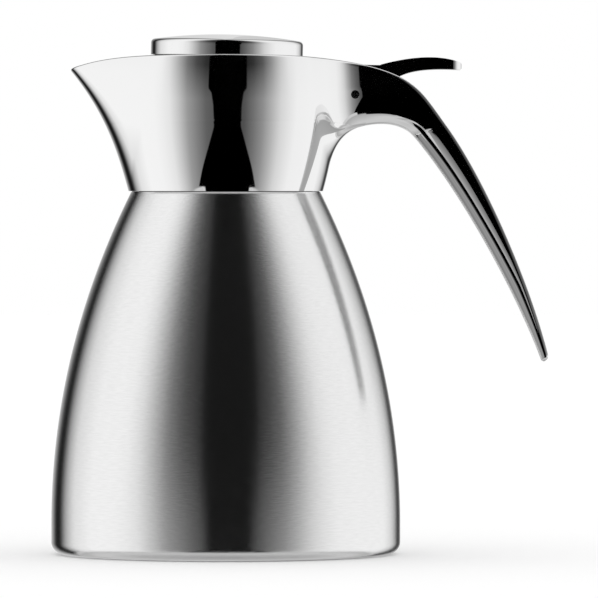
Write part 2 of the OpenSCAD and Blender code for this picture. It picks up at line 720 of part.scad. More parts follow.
module lid_carrier() {
    plate_t = 2.2;
    boss_h = screw_grip - 0.2;
    boss_wall = 2;
    rim_low = 0.5;
    rim_out = cap_r - cap_t - fit;
    rim_in = rim_out - wall_t;
    rim_high = cap_h - cap_edge_r;
    color([0.12, 0.12, 0.12]) difference() {
        union() {
            translate([0, 0, arm_top]) cylinder(h = plate_t, r = rim_out - wall_t / 2);
            for (x = screw_places)
                translate([x, 0, arm_top]) cylinder(h = boss_h, r = screw_d / 2 + boss_wall);
            leaning() rotate_extrude() polygon([
                [rim_in, rim_low], [rim_out, rim_low], [rim_out, rim_high], [rim_in, rim_high]]);
        }
        screw_holes(arm_top, boss_h);
    }
}

plug_top = arm_bottom;
plug_plate_t = 2.6;
plug_r = seat_r - stopper_gap;
tail_z = seat_z - stopper_tail;
cone_r = throat_r - stopper_gap;
tail_r = cone_r - 1;
cavity_top = plug_top - plug_plate_t;
cavity_step = 0.5;
head_h = 2;
head_d = 1.9 * screw_d;
seal_z = seat_z + 0.35 * seat_h;
spigot_h = 2;

// Radius of the stopper's cone at a height, which runs parallel to its seat
function plug_cone_r(z) = cone_r + (z - seat_z) * (seat_r - throat_r) / seat_h;

module stopper_body() {
    groove_top = seal_z + seal_h;
    color([0.11, 0.11, 0.115]) difference() {
        rotate_extrude() polygon([
            [0, plug_top], [plug_r, plug_top], [plug_r, deck_z], [cone_r, seat_z], [tail_r, tail_z],
            [tail_r - wall_t, tail_z], [cone_r - wall_t, seat_z],
            [plug_cone_r(cavity_top) - wall_t - cavity_step, cavity_top], [0, cavity_top]]);
        rotate_extrude() polygon([
            [plug_cone_r(seal_z) - seal_depth, seal_z], [plug_cone_r(seal_z) + through, seal_z],
            [plug_cone_r(groove_top) + through, groove_top],
            [plug_cone_r(groove_top) - seal_depth, groove_top]]);
        screw_holes(cavity_top, plug_plate_t);
    }
}

module stopper_seal() {
    low = seal_z + joined;
    high = seal_z + seal_h - joined;
    proud = stopper_gap - seal_gap;
    bevel = 0.5;
    bed = joined - seal_depth;
    color([0.8, 0.8, 0.78]) rotate_extrude() polygon([
        [plug_cone_r(low) + bed, low], [plug_cone_r(low), low],
        [plug_cone_r(low + bevel) + proud, low + bevel], [plug_cone_r(high - bevel) + proud, high - bevel],
        [plug_cone_r(high), high], [plug_cone_r(high) + bed, high]]);
}

module stopper_insulation() {
    low = tail_z + spigot_h + fit;
    high = cavity_top - fit;
    color([0.92, 0.9, 0.8]) difference() {
        rotate_extrude() polygon([
            [0, low], [tail_r - wall_t - fit, low], [cone_r - wall_t - fit, seat_z],
            [plug_cone_r(high) - wall_t - cavity_step - fit, high], [0, high]]);
        for (x = screw_places)
            translate([x, 0, cavity_top - head_h - fit]) cylinder(h = head_h + through, d = head_d + 2 * fit);
    }
}

module stopper_bottom() {
    spigot_r = tail_r - wall_t - joined;
    spigot_z = tail_z + spigot_h;
    disc_t = 1.6;
    bevel = disc_t / 2;
    color([0.11, 0.11, 0.115]) rotate_extrude() polygon([
        [0, tail_z - disc_t], [tail_r - bevel, tail_z - disc_t], [tail_r, tail_z - bevel], [tail_r, tail_z],
        [spigot_r, tail_z], [spigot_r, spigot_z], [0, spigot_z]]);
}

module lid_screws() {
    color([0.65, 0.65, 0.66]) for (x = screw_places) translate([x, 0, cavity_top - head_h]) {
        cylinder(h = head_h, d = head_d);
        cylinder(h = head_h + plug_plate_t + arm_t + screw_grip, d = screw_d);
    }
}

outer_shell();
inner_vessel();
vacuum_base();
getter();
base_cover();
foot_ring();
neck_ring();
neck_gasket();
spout_collar();
handle();
pouring_insert();
hinge_pin();
thumb_lever();
hinge_bushes();
lid_cap();
lid_carrier();
stopper_body();
stopper_insulation();
stopper_bottom();
stopper_seal();
lid_screws();
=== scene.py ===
import bpy
import numpy as np
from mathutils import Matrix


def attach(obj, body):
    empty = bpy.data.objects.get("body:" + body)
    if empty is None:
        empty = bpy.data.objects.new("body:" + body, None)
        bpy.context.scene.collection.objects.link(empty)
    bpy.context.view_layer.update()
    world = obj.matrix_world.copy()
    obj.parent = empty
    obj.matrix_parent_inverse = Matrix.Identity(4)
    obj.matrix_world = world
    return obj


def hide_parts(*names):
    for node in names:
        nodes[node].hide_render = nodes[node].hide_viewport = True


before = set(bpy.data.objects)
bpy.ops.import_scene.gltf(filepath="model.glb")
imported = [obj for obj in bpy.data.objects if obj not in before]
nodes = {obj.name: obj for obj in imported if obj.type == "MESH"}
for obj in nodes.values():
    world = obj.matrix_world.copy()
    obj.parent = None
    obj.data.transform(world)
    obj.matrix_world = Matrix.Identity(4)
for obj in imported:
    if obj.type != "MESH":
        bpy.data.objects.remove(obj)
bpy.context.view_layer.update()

# Outer shell: the carafe's brushed steel body, one sheet spun to a cone with a rounded bottom edge. Its lip is
# rolled in under the base, and its neck stands up inside the collar, where it is welded to the flask. The step
# and neck under the collar's foot are painted near-black: a painted shadow that draws the dark gap at the seam.
body_r, edge_r, side_foot_z = 0.0698, 0.0048, 0.012
lip_r, lip_z = 0.063, 0.0003
seam_r, seam_z = 0.0378, 0.145
foot_pull, seam_pull = (0, 0.0368), (0.0252, -0.0505)
neck_r, neck_top_z = 0.0345, 0.1526
steel_t, step_h = 0.0008, 0.00025
shell_turns = 300
sharp_deg = 35


def bezier(start, start_pull, end_pull, end, t):
    """Cubic curve between two ends, each pulled by a vector: its points weighted by the four Bernstein terms."""
    t = t[:, None]
    a, d = np.array(start, float), np.array(end, float)
    b, c = a + start_pull, d + end_pull
    return (1 - t) ** 3 * a + 3 * (1 - t) ** 2 * t * b + 3 * (1 - t) * t ** 2 * c + t ** 3 * d


def arc(centre, radius, first, last, count):
    """Points centre + radius (cos a, sin a) with the angle a running evenly from first to last, in degrees."""
    a = np.radians(np.linspace(first, last, count))
    return np.array(centre) + radius * np.stack([np.cos(a), np.sin(a)], 1)


def spun(profile, turns):
    """Surface of revolution: each point (r, z) of the profile becomes a ring (r cos a, r sin a, z)."""
    a = np.linspace(0, 2 * np.pi, turns, endpoint=False)
    r, z = profile[:, 0:1], profile[:, 1:2]
    return np.stack([r * np.cos(a), r * np.sin(a), z + 0 * a], 2)


def along_profile(profile):
    """Length travelled along the profile up to each of its points."""
    return np.concatenate([[0], np.cumsum(np.linalg.norm(np.diff(profile, axis=0), axis=1))])


def surface(name, grid, rows_close=False, caps=(), uv=None):
    """Mesh of a grid of points (rows, columns, 3). Each cell is a quad. The columns join end to end, the rows
    may, and each row named in caps is closed by a fan to its middle. uv gives one pair for each grid point."""
    rows, columns = grid.shape[:2]
    i, j = np.meshgrid(np.arange(rows - (not rows_close)), np.arange(columns), indexing="ij")
    i, j = i.ravel(), j.ravel()
    down, right = (i + 1) % rows, (j + 1) % columns
    quads = np.stack([i * columns + j, i * columns + right, down * columns + right, down * columns + j], 1)
    points = grid.reshape(-1, 3)
    faces = quads.tolist()
    for cap in caps:
        row = cap % rows
        middle = len(points)
        points = np.vstack([points, grid[row].mean(0)])
        a = row * columns + np.arange(columns)
        b = row * columns + (np.arange(columns) + 1) % columns
        fan = np.stack([b, a, 0 * a + middle] if row == 0 else [a, b, 0 * a + middle], 1)
        faces += fan.tolist()
    mesh = bpy.data.meshes.new(name)
    mesh.from_pydata(points.tolist(), [], faces)
    if uv is not None:
        u = np.zeros((len(points), 2))
        u[:rows * columns] = uv.reshape(-1, 2)
        corner = np.empty(len(mesh.loops), int)
        mesh.loops.foreach_get("vertex_index", corner)
        values = u[corner]
        mesh.uv_layers.new(name="wrap").data.foreach_set("uv", values.ravel())
    mesh.shade_smooth()
    mesh.set_sharp_from_angle(angle=np.radians(sharp_deg))
    mesh.update()
    piece = bpy.data.objects.new(name, mesh)
    bpy.context.scene.collection.objects.link(piece)
    return piece


def finish(name, **sockets):
    """A new material with a Principled shader whose sockets are set by name, returned with its node tree."""
    material = bpy.data.materials.new(name)
    material.use_nodes = True
    tree = material.node_tree
    shader = tree.nodes["Principled BSDF"]
    for socket, value in sockets.items():
        shader.inputs[socket.replace("_", " ")].default_value = value
    return material, tree, shader


def wire(tree, kind, settings=None, **inputs):
    """Adds a node, sets its properties and its inputs, and links those that are given as other nodes' outputs.
    An input goes by its name, or by its number as i0, i1 and so on."""
    node = tree.nodes.new(kind)
    for key, value in (settings or {}).items():
        setattr(node, key, value)
    for key, value in inputs.items():
        numbered = key[0] == "i" and key[1:].isdigit()
        socket = node.inputs[int(key[1:]) if numbered else key.replace("_", " ")]
        if isinstance(value, bpy.types.NodeSocket):
            tree.links.new(value, socket)
        else:
            socket.default_value = value
    return node


def ranged(tree, value, low, high, new_low, new_high):
    """Carries a value from the range low to high over to new_low to new_high, and holds it at both ends."""
    return wire(tree, "ShaderNodeMapRange", i0=value, i1=low, i2=high, i3=new_low, i4=new_high).outputs[0]


def reckoned(tree, operation, *values):
    """One step of arithmetic on numbers or on other nodes' outputs."""
    inputs = {f"i{place}": value for place, value in enumerate(values)}
    return wire(tree, "ShaderNodeMath", {"operation": operation}, **inputs).outputs[0]


def noise(tree, place, scale, detail, dimensions="3D"):
    """Fractal noise about one half, whose coarsest grain is about 1 / scale of the place's own unit."""
    settings = {"noise_dimensions": dimensions}
    return wire(tree, "ShaderNodeTexNoise", settings, Vector=place, Scale=scale, Detail=detail).outputs[0]


def clouded(tree, shader, scale, detail, low, high):
    """Moves the roughness between low and high with noise on Object coordinates, and returns that noise."""
    cloud = noise(tree, wire(tree, "ShaderNodeTexCoord").outputs["Object"], scale, detail)
    tree.links.new(ranged(tree, cloud, 0.3, 0.7, low, high), shader.inputs["Roughness"])
    return cloud


def bumped(tree, shader, height, strength, distance):
    """Tilts the surface by the slope of a height, whose 1 stands for a distance in metres."""
    bump = wire(tree, "ShaderNodeBump", Strength=strength, Distance=distance, Height=height)
    tree.links.new(bump.outputs[0], shader.inputs["Normal"])


def brushed_steel():
    """Steel brushed round the axis: noise stretched round the piece on its own wrap map, and a reflection
    that is spread along the axis, across the brush lines."""
    material, tree, shader = finish("brushed_steel", Base_Color=(0.91, 0.91, 0.915, 1), Metallic=1.0,
                                    Roughness=0.17, Anisotropic=0.88, Anisotropic_Rotation=0.25)
    wrap = wire(tree, "ShaderNodeUVMap", {"uv_map": "wrap"}).outputs[0]
    fine_lines = wire(tree, "ShaderNodeMapping", i0=wrap, i3=(150.0, 4200.0, 1.0)).outputs[0]
    broad_lines = wire(tree, "ShaderNodeMapping", i0=wrap, i3=(90.0, 1500.0, 1.0)).outputs[0]
    lines = reckoned(tree, "ADD", noise(tree, fine_lines, 1.0, 3.0, "2D"), noise(tree, broad_lines, 1.0, 2.0, "2D"))
    tree.links.new(ranged(tree, lines, 0.6, 1.4, 0.15, 0.19), shader.inputs["Roughness"])
    tree.links.new(ranged(tree, lines, 0.6, 1.4, 0.875, 0.935), shader.inputs["Base Color"])
    bumped(tree, shader, lines, 0.5, 0.00003)
    tangent = wire(tree, "ShaderNodeTangent", {"direction_type": "RADIAL", "axis": "Z"})
    tree.links.new(tangent.outputs[0], shader.inputs["Tangent"])
    return material


def painted_gap_shadow():
    """Painted shadow: near-black, rough and a little cloudy, on the step and neck under the collar's foot, where
    the gap lies in shade.
    """
    material, tree, shader = finish("painted_gap_shadow", Base_Color=(0.03, 0.03, 0.03, 1), Metallic=0.4, Roughness=0.6)
    clouded(tree, shader, 500.0, 3.0, 0.5, 0.75)
    return material


side = bezier((body_r, side_foot_z), foot_pull, seam_pull, (seam_r, seam_z), np.linspace(0, 1, 120))
edge_centre = (body_r - edge_r, lip_z + edge_r)
step_z, under_seam_z = seam_z + step_h, seam_z - steel_t
shell_profile = np.vstack([
    [(lip_r, lip_z)],
    arc(edge_centre, edge_r, -90, 0, 16),
    side,
    [(seam_r - 0.0003, seam_z), (seam_r - 0.0004, step_z), (neck_r, step_z), (neck_r, neck_top_z)],
    [(neck_r - steel_t, neck_top_z), (neck_r - steel_t, under_seam_z), (seam_r - steel_t, under_seam_z)],
    (side - (steel_t, 0))[-2::-1],
    arc(edge_centre, edge_r - steel_t, 0, -90, 16),
    [(lip_r, lip_z + steel_t)],
])
travelled = along_profile(shell_profile)
round_share = np.arange(shell_turns) / shell_turns
shell_uv = np.stack(np.broadcast_arrays(round_share[None, :], travelled[:, None]), 2)
outer_shell = surface("shell_brushed", spun(shell_profile, shell_turns), rows_close=True, uv=shell_uv)
outer_shell.data.materials.append(brushed_steel())
outer_shell.data.materials.append(painted_gap_shadow())
# The faces from the seam up, the step and the neck, get the second material: the painted shadow of the gap.
middles = np.empty(len(outer_shell.data.polygons) * 3)
outer_shell.data.polygons.foreach_get("center", middles)
painted_shadow_faces = middles[2::3] > seam_z - 0.00001
outer_shell.data.polygons.foreach_set("material_index", painted_shadow_faces.astype(np.int32))
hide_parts("outer_shell")
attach(outer_shell, "carafe")

# Pouring collar: a zinc casting, mirror plated, pushed over the neck and held by the ring inside it. Its round
# grows a spout in front and two ears at its back, which carry the lid's hinge and the handle.
collar_r, collar_flare, collar_flare_h = 0.0388, 0.285, 0.040
collar_gap, collar_t = 0.0003, 0.002
spout_reach, spout_tip_r = 0.018, 0.014
nose_narrows, nose_grows = 1.4, 2.4
rim_crown_h, rim_drop_spout, back_drop, rim_edge_r = 0.0543, 0.0055, 0.0038, 0.0008
spout_swing, back_swing = 4.3, 3.3
spout_tip_h = rim_crown_h - rim_drop_spout
joint_x, joint_least_half_w = 0.056, 0.0055
arch_x, arch_h, arch_fall, arch_reach = 0.0617, 0.0269, 0.0018, 0.0184
ear_r, ear_round, ear_blend = 0.012, 0.0007, 0.015
barrel_h, barrel_r = 0.0414, 0.034
pin_x, pin_z, pin_r, pin_fit = 0.0517, 0.1838, 0.00165, 0.00005
ray_count, ray_crowding = 1400, 0.155
side_columns, face_columns, wall_rows = 420, 12, 30


def collar_round(h):
    """Radius of the collar's round, a parabola in the height: it flares out, then turns in below the rim."""
    return collar_r + collar_flare * (h - h ** 2 / (2 * collar_flare_h))


def drop_gap(x, y, h):
    """Distance in plan from the hull of two circles, the round and the spout's nose, which change with h."""
    share = np.clip(h / spout_tip_h, 0, None)
    round_r = collar_round(h)
    tip_r = round_r - (round_r - spout_tip_r) * share ** nose_narrows
    tip_x = np.maximum(round_r + spout_reach * share ** nose_grows - tip_r, 1e-6)
    lean = (round_r - tip_r) / tip_x
    level = np.sqrt(np.maximum(1 - lean ** 2, 0))
    k = -level * x - lean * np.abs(y)
    flank = level * np.abs(y) - lean * x - round_r
    return np.where(k < 0, np.hypot(x, y) - round_r,
                    np.where(k > level * tip_x, np.hypot(x + tip_x, y) - tip_r, flank))


def ear_gap(x, y, h):
    """Distance from the bar of the two ears: an arch below, with rounded lower edges, and cheeks that are flat
    above barrel_h and curve in below it on a circle of barrel_r."""
    arch = arch_h - arch_fall * (np.maximum(arch_x - x, 0) / arch_reach) ** 2
    sideways = np.abs(y) - ear_r + ear_round + np.maximum(barrel_h - h, 0) ** 2 / (2 * barrel_r)
    below = arch + ear_round - h
    outside = np.hypot(np.maximum(sideways, 0), np.maximum(below, 0))
    bar = outside + np.minimum(np.maximum(sideways, below), 0) - ear_round
    return np.maximum(bar, collar_r / 2 - x)


def eared_gap(x, y, h):
    """Drop shape and ears joined by a polynomial smooth minimum."""
    drop, ear = drop_gap(x, y, h), ear_gap(x, y, h)
    k = np.maximum(ear_blend - np.abs(drop - ear), 0) / ear_blend
    return np.minimum(drop, ear) - k * k * ear_blend / 4


def halved(inside, near, far):
    """The value between near and far where inside turns false, by halving the interval thirty times."""
    for _ in range(30):
        middle = (near + far) / 2
        within = inside(middle)
        near, far = np.where(within, middle, near), np.where(within, far, middle)
    return (near + far) / 2


def collar_ray(a, h, inset, ears):
    """Radius at which the collar's surface is met at angle a: the ears end flat at the handle's joint."""
    def inside(r):
        """Whether the point at this radius lies within the outline, moved inwards by the inset."""
        x, y = r * np.cos(a), r * np.sin(a)
        gap = np.maximum(eared_gap(x, y, h) + inset, x - joint_x) if ears else drop_gap(x, y, h) + inset
        return gap < 0
    return halved(inside, np.full_like(a, 0.01), np.full_like(a, 0.09))


def joint_half_w(h):
    """Half width of the ears where they meet the handle, at a height above the seam."""
    return halved(lambda y: eared_gap(joint_x, y, h) < 0, np.array(0.0), np.array(0.02))


def rim_h(x):
    """Height of the rim over the seam: it falls as a power of x to the spout and to the handle."""
    spout_tip_x = collar_round(spout_tip_h) + spout_reach
    return rim_crown_h - np.where(x < 0, rim_drop_spout * np.abs(x / spout_tip_x) ** spout_swing,
                                  back_drop * np.abs(x / joint_x) ** back_swing)


def collar_level(level_h, inset, drop, ears):
    """One outline of the collar: rays close together at the ears, then spaced evenly along the outline. Its
    height keeps the same share of the way from the collar's foot up to the rim, all the way round."""
    half_w = np.maximum(joint_half_w(level_h), joint_least_half_w) - (inset if ears else 0)
    corner = np.arctan2(half_w, joint_x)
    s = np.linspace(0, 1, ray_count)
    a = corner + (2 * np.pi - 2 * corner) * (s - ray_crowding * np.sin(2 * np.pi * s))
    face = corner * np.linspace(-1, 1, face_columns + 1)[1:-1]
    share = (level_h - collar_gap) / (rim_crown_h - back_drop - collar_gap)

    def ring(angles):
        """The outline's points at these angles round the axis."""
        rim_x = collar_ray(angles, np.full_like(angles, spout_tip_h), inset, ears) * np.cos(angles)
        h = collar_gap + (rim_h(rim_x) - collar_gap) * share - drop
        r = collar_ray(angles, h, inset, ears)
        return np.stack([r * np.cos(angles), r * np.sin(angles), seam_z + h], 1)

    dense = ring(a)
    length = along_profile(dense)
    stops = np.linspace(0, length[-1], side_columns)
    even = np.stack([np.interp(stops, length, dense[:, i]) for i in range(3)], 1)
    return np.vstack([even, ring(face)])


joint_h = float(halved(lambda h: eared_gap(joint_x, 0.0, h) > 0, np.array(0.0), np.array(0.04)))
joint_top_h = rim_crown_h - back_drop
outer_heights = np.concatenate([
    np.linspace(collar_gap, joint_h, wall_rows)[:-1],
    joint_h + ear_round * (1 - np.cos(np.radians(np.linspace(0, 90, 8)))),
    np.linspace(joint_h + ear_round, joint_top_h - rim_edge_r, wall_rows)[1:]])
edge_turn = np.radians(np.linspace(0, 90, 6))[1:]
outer = [collar_level(h, 0, 0, True) for h in outer_heights]
edge = [collar_level(joint_top_h, rim_edge_r * (1 - np.cos(t)), rim_edge_r * (1 - np.sin(t)), True)
        for t in edge_turn]
inner = [collar_level(h, collar_t, 0, False) for h in np.linspace(joint_top_h, collar_gap, 24)]
top = []
for share in (0.15, 0.3, 0.5, 0.7, 0.85):
    flat = edge[-1] + (inner[0] - edge[-1]) * share
    flat[:, 2] = seam_z + rim_h(flat[:, 0])
    top.append(flat)
collar_grid = np.stack(outer + edge + top + inner)


def mirror_plate():
    """Polished nickel and chrome plate: a clear reflection, with the faint cloudiness of a polishing wheel."""
    material, tree, shader = finish("mirror_plate", Base_Color=(0.93, 0.93, 0.93, 1), Metallic=1.0, Roughness=0.03)
    clouded(tree, shader, 55.0, 4.0, 0.015, 0.05)
    return material


# The channel between the ears is cut to the lever's own shape, so that shape is needed here.
lever_half_w, lever_side_gap, lever_swing_deg = 0.006, 0.0005, 38
lever_crown_z, lever_tip_x, lever_t, lever_tip_t = 0.1991, 0.0937, 0.0052, 0.003
arm_end_x, arm_rise_x, arm_top, arm_bottom = -0.012, 0.0312, 0.1980, 0.1952
hub_d, hub_gap = 0.0092, 0.0007
above_z, past_sides = 0.24, 0.03


def lever_outline():
    """The thumb lever seen from the side: cubic curves for crown, underside and arm, and an arc for the nose."""
    neck, tip = np.array((pin_x + 0.0105, lever_crown_z - 0.0032)), np.array((lever_tip_x, lever_crown_z - 0.0024))
    few, many = np.linspace(0, 1, 24), np.linspace(0, 1, 40)
    over = bezier((arm_rise_x, arm_top), (0.013, 0), (-0.0155, 0), neck - (0.0005, 0.0003), few)
    crown = bezier(neck, (0.0098, 0.0026), (-0.0094, 0.0036), tip, many)
    nose = arc(tip + (0.0002, -lever_tip_t / 2), 0.3 * lever_tip_t, 60, -60, 7)
    root = (pin_x + 0.0176, neck[1] + 0.0034 - 1.6 * lever_t)
    under = bezier(root, (0.0057, 0.00302), (-0.0098, 0.0005), tip - (0, lever_tip_t), many)
    hub_front = (pin_x - 0.0025, pin_z + 0.4 * hub_d)
    arm_under = bezier((pin_x - 0.0137, arm_bottom), (0.0065, 0), (-0.0037, 0.005), hub_front, few)
    return over, crown, nose, under, arm_under


over, crown, nose, under, arm_under = lever_outline()


def lever_channel():
    """Room for the lever: over the collar's wall, round the hub and under the lever when it is pressed down."""
    pin, rest_gap, hub_room = np.array((pin_x, pin_z)), (0.0005, hub_gap), hub_d / 2 + hub_gap
    turn = np.radians(lever_swing_deg)
    about = under - pin
    pressed = pin + np.stack([about[:, 0] * np.cos(turn) + about[:, 1] * np.sin(turn),
                              about[:, 1] * np.cos(turn) - about[:, 0] * np.sin(turn)], 1) - rest_gap
    over_wall = arm_under - rest_gap
    over_wall = over_wall[np.linalg.norm(over_wall - pin, axis=1) > hub_room]
    reach = np.linalg.norm(crown[-1] - pin) + 0.001
    way = np.arctan2(crown[-1, 1] - pin_z, crown[-1, 0] - pin_x) - turn - np.radians(2.5)
    end = pin + reach * np.array((np.cos(way), np.sin(way)))
    return np.vstack([[(arm_end_x, above_z), (arm_end_x, arm_bottom - hub_gap)], over_wall,
                      arc(pin, hub_room, 150, 270, 16), pressed, [end, (end[0], above_z)]])


def across(name, outline, half_w):
    """An outline in the XZ plane carried straight across from -half_w to half_w, with both ends closed."""
    low = np.stack([outline[:, 0], 0 * outline[:, 0] - half_w, outline[:, 1]], 1)
    high = low * (1, -1, 1)
    count = len(outline)
    ring = np.arange(count)
    sides = np.stack([ring, ring + count, (ring + 1) % count + count, (ring + 1) % count], 1).tolist()
    mesh = bpy.data.meshes.new(name)
    mesh.from_pydata(np.vstack([low, high]).tolist(), [], sides + [ring.tolist(), (ring + count)[::-1].tolist()])
    mesh.update()
    piece = bpy.data.objects.new(name, mesh)
    bpy.context.scene.collection.objects.link(piece)
    return piece


def cut(piece, *cutters, operation="DIFFERENCE", sharp_past=sharp_deg):
    """Takes the cutters' room out of the piece, makes that its bare mesh and marks the new edges as sharp."""
    for cutter in cutters:
        knife = piece.modifiers.new("cut", "BOOLEAN")
        knife.operation, knife.solver, knife.object = operation, "EXACT", cutter
    bpy.context.view_layer.update()
    seen = piece.evaluated_get(bpy.context.evaluated_depsgraph_get())
    piece.data = bpy.data.meshes.new_from_object(seen)
    piece.data.name = piece.name
    piece.modifiers.clear()
    piece.data.materials.clear()
    piece.data.shade_smooth()
    piece.data.set_sharp_from_angle(angle=np.radians(sharp_past))


def pin_bore(radius, half_l):
    """A round bar across the hinge, as a surface of revolution about Y."""
    bar = spun(np.array([(radius, -half_l), (radius, half_l)]), 48)
    bar = np.stack([bar[..., 0] + pin_x, bar[..., 2], pin_z - bar[..., 1]], 2)
    return surface("bore", bar, caps=(0, -1))


channel = across("channel", lever_channel(), lever_half_w + lever_side_gap)
bore = pin_bore(pin_r + pin_fit, past_sides)
collar = surface("collar_polished", collar_grid, rows_close=True)
cut(collar, channel, bore)
plate = mirror_plate()
collar.data.materials.append(plate)
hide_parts("spout_collar")
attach(collar, "carafe")

# Handle: a second casting, welded to the ears and polished over, so that no joint shows. It bends down from
# the ears and thins to a rounded tip. Its cheeks lean in to the underside in a bead, which a groove parts from
# them towards the knee; past the knee the groove's upper side opens into a long narrow facet.
knee_back, knee_belly, tip_back = (0.0884, 0.171), (0.0754, 0.1669), (0.1287, 0.0803)
tip_t, knee_half_w, tip_narrower = 0.0034, 0.010, 0.003
knee_rows, grip_rows = 240, 120
bead_root_h, bead_grown, bead_lost = 0.0028, 0.0020, 0.0004
strip_root_w, strip_lost = 0.0015, 0.0010
facet_start_w, facet_low, facet_high = 0.0029, 0.46, 0.26
opening_ahead, opening_l = 0.0023, 0.0012
groove_root_d, groove_grown, groove_to_strip = 0.00049, 0.000554, 0.36
strip_share, edge_grown = 0.7, 0.0006


def handle_line(root, root_pull, knee_in, knee, knee_out, tip_pull, tip):
    """A line of two cubic curves that meet at the knee, sampled at to_knee and past_knee."""
    return np.vstack([bezier(root, root_pull, knee_in, knee, to_knee),
                      bezier(knee, knee_out, tip_pull, tip, past_knee)])


def eased(x):
    """Smooth step of x from 0 to 1, as 3 x squared less 2 x cubed."""
    x = np.clip(x, 0, 1)
    return x * x * (3 - 2 * x)


# to_knee and past_knee are each row's share of the way to the knee and past it. along is its place on the back,
# counted from the knee in metres, and gone its share of the grip.
to_knee, past_knee = np.linspace(0, 1, knee_rows), np.linspace(0, 1, grip_rows + 1)[1:] ** 1.6
back = handle_line((joint_x, seam_z + joint_top_h), (0.0198, -0.0046), (-0.0096, 0.0133), knee_back,
                   (0.0162, -0.0225), (-0.0064, 0.0258), tip_back)
belly = handle_line((joint_x, seam_z + joint_h), (0.0072, 0.0014), (-0.0046, 0.0055), knee_belly,
                    (0.0182, -0.0216), (-0.0104, 0.0276), (tip_back[0] - 0.8 * tip_t, tip_back[1] - 0.6 * tip_t))
thick = np.linalg.norm(back - belly, axis=1)
along = (along_profile(back) - along_profile(back[:knee_rows])[-1])[:, None]
gone = np.maximum(along, 0) / along[-1]
to_knee, past_knee = np.append(to_knee, 0 * past_knee + 1)[:, None], np.append(0 * to_knee, past_knee)[:, None]
half_w = joint_half_w(joint_top_h) * (1 - to_knee) + knee_half_w * to_knee - tip_narrower * past_knee
swell = (1 - to_knee) ** 2
bead_h = bead_root_h + bead_grown * eased(to_knee / 0.5 - 1) - bead_lost * np.clip(gone / 0.4, 0, 1)
# The facet narrows to nothing nine tenths down the grip. It starts just before the knee with a rounded end,
# a quarter of an ellipse, out of the narrow strip that is left above the groove.
facet_w = facet_start_w * np.maximum(1 - gone / 0.9, 0) ** 0.65
opened = np.clip((along + opening_ahead) / opening_l, 0, 1)
strip_w = strip_root_w - strip_lost * np.clip((to_knee - 0.4) / 0.45, 0, 1)
strip_w += (facet_w - strip_w) * np.sqrt(1 - (1 - opened) ** 2)
groove = np.clip((to_knee - 0.3) / 0.7, 0, 1) ** 1.5
groove_d = np.where(past_knee > 0, groove_to_strip * facet_w,
                    groove_root_d + groove_grown * eased(to_knee / 0.6 - 2 / 3))
# The bead's lean in degrees at these shares of its height, without the groove and with it, and how far the
# ground edge has turned on its way from the cheek to the back.
bead_at = [0, 0.3, 0.45, 0.52, 0.64, 0.72, 0.86, 1]
bead_plain, bead_grooved = [14.5, 17, 19.2, 19.8, 21, 21.5, 22, 22.5], [14, 18, 21.5, 18, 24, 8, 5, 0]
round_turn = np.radians(np.linspace(0, 90, 13))
ground_at = np.append(np.linspace(0, 0.8, 6), np.linspace(0.8, 1, 8)[1:])
ground_turn = np.radians(np.interp(ground_at, [0, 0.22, 0.8, 1], [0, 19, 22, 90]))


def summed(value, at):
    """Integral of the value from the first place to each place, by the trapezium rule along the last axis."""
    strips = (value[..., 1:] + value[..., :-1]) / 2 * np.diff(at, axis=-1)
    return np.concatenate([0 * strips[..., :1], np.cumsum(strips, -1)], -1)


ground_up, ground_in = summed(np.cos(ground_turn), ground_at), summed(np.sin(ground_turn), ground_at)
ground_up, ground_in = ground_up / ground_up[-1], ground_in / ground_up[-1]


def handle_sides(rows, margin):
    """Half sections of the handle as height over the belly and distance from the middle: a small round, the
    bead, whose lean is integrated down from its top, the strip or facet, the cheek and the ground edge."""
    left = thick[rows, None] - 2 * margin
    w = half_w[rows] - margin
    foot_r = np.minimum(ear_round, 0.2 * left)
    bead = np.minimum(bead_h[rows], 0.66 * left)
    k = eased(to_knee[rows] / 0.6)
    edge = np.minimum(rim_edge_r + edge_grown * k, 0.3 * left)
    wide = np.minimum(strip_w[rows], strip_share * (left - bead - edge))
    deep = np.minimum(groove_d[rows] * (1 - swell[rows]), groove_to_strip * strip_share * (left - bead - edge))
    a = np.radians(np.linspace(0, 90, 8))
    foot_z = foot_r * (1 - np.cos(a))
    z_bead = np.hstack([foot_z, foot_r + (bead - foot_r) * np.linspace(0, 1, 22)[1:]])
    plain = np.interp(z_bead / bead, bead_at, bead_plain)
    lean = plain + groove[rows] * (np.interp(z_bead / bead, bead_at, bead_grooved) - plain)
    inset = summed(np.tan(np.radians(lean * (1 - swell[rows]))), z_bead)
    y_bead = w - deep - (inset[:, -1:] - inset)
    y_bead[:, :8] -= foot_r * (1 - np.sin(a))
    s = np.linspace(0, 1, 9)[1:]
    z_strip = bead + wide * s
    curved_in = facet_high * (1 - s) + (facet_low - facet_high) / 2 * (1 - s) ** 2
    y_strip = w - deep * curved_in * 2 / (facet_low + facet_high)
    z_edge = left - edge + edge * (np.sin(round_turn) * (1 - k) + ground_up * k)
    y_edge = w - edge * ((1 - np.cos(round_turn)) * (1 - k) + ground_in * k)
    z_side = z_strip[:, -1:] + (z_edge[:, :1] - z_strip[:, -1:]) * np.linspace(0, 1, 12)[1:-1]
    z = margin + np.hstack([z_bead, z_strip, z_side, z_edge])
    y = np.hstack([y_bead, y_strip, w + 0 * z_side, y_edge])
    return z, y - swell[rows] * np.maximum(barrel_h - joint_h - z, 0) ** 2 / (2 * barrel_r)


# How much wider the ears' flat end is than the handle's own section at its root, height by height.
root_z, root_y = handle_sides(slice(0, 1), 0)
held_z = np.clip(root_z, 1.2 * ear_round, thick[0] - 1.2 * rim_edge_r)
root_gap = joint_half_w(joint_h + held_z) - np.interp(held_z[0], root_z[0], root_y[0])


